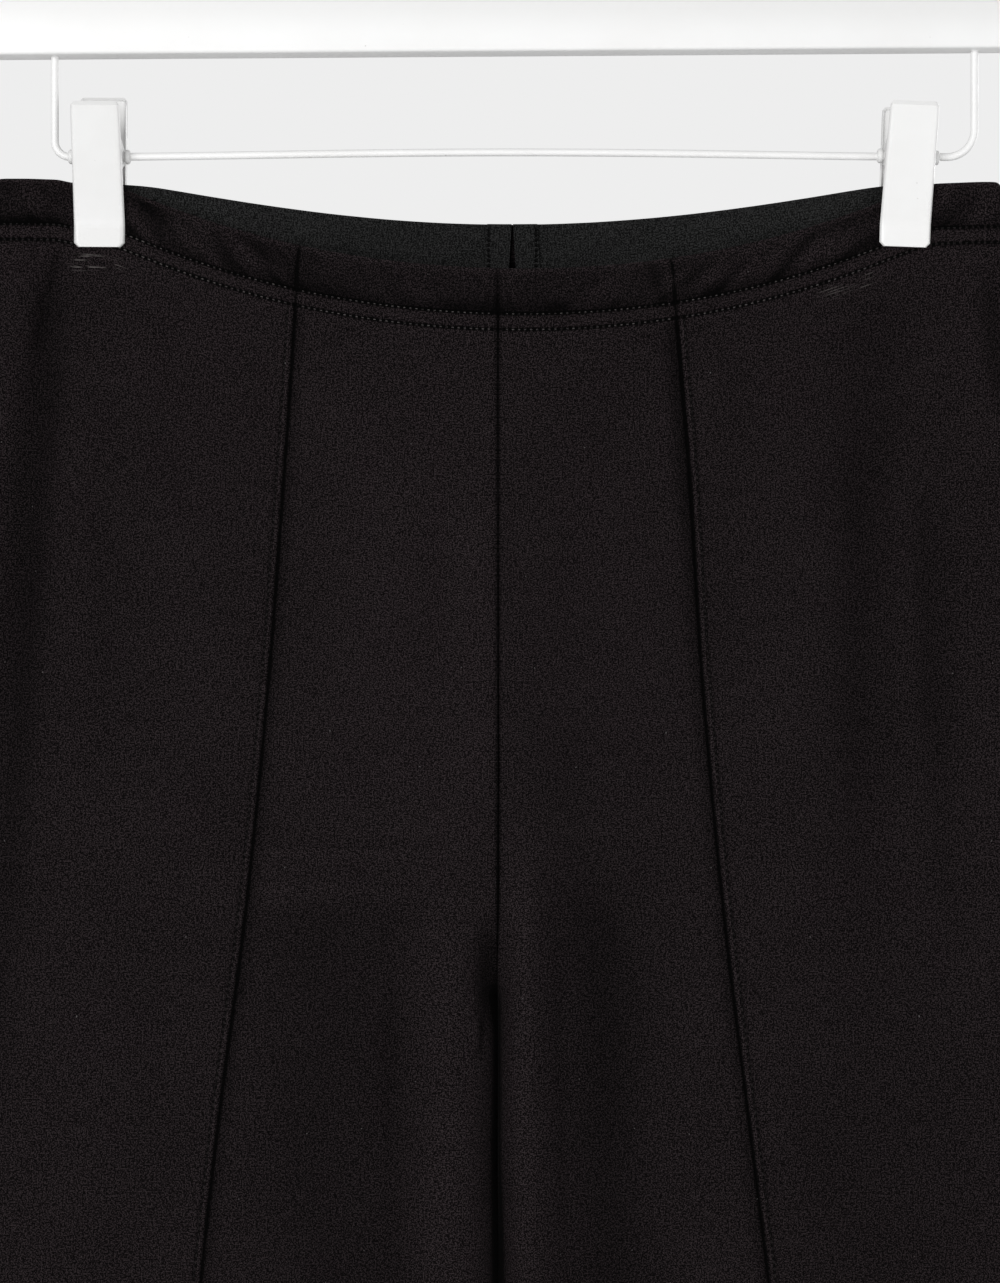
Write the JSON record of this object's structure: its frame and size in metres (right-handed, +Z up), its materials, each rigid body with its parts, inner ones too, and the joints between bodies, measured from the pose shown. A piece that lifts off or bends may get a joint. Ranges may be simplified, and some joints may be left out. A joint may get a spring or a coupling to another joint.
{
  "type": "kick flare trousers on a clip hanger",
  "caption": "Pull-on kick flare trousers in black stretch knit, seamed down the front of each leg, with an elastic waist held by the clips of a white bar hanger.",
  "frame": {"origin": "the highest point of the inside of the hanger's hook, where a rail carries the hanger", "axes": "+X towards the wearer's left, which is the right of the picture, +Y from the front of the garment to its back, +Z up"},
  "size_m": [0.5452, 0.0458, 1.1447],
  "materials": {
    "black_knit": "matt dense knit, near black",
    "grey_elastic": "ribbed elastic, dark grey",
    "white_paint": "smooth white paint",
    "white_coating": "white coating, satin",
    "spring_steel": "plain drawn wire"
  },
  "bodies": {
    "root": {"front_centre_left": "black_knit", "front_centre_right": "black_knit", "front_side_left": "black_knit", "front_side_right": "black_knit", "back_left": "black_knit", "back_right": "black_knit", "waist_elastic": "grey_elastic", "elastic_turn_back_left": "grey_elastic", "elastic_turn_back_right": "grey_elastic", "hanger_bar": "white_paint", "hanger_hook": "white_coating", "hanger_wire": "white_coating", "clip_left_front_plate": "white_coating", "clip_left_back_plate": "white_coating", "clip_right_front_plate": "white_coating", "clip_right_back_plate": "white_coating", "clip_left_spring": "spring_steel", "clip_right_spring": "spring_steel"}
  },
  "joints": []
}
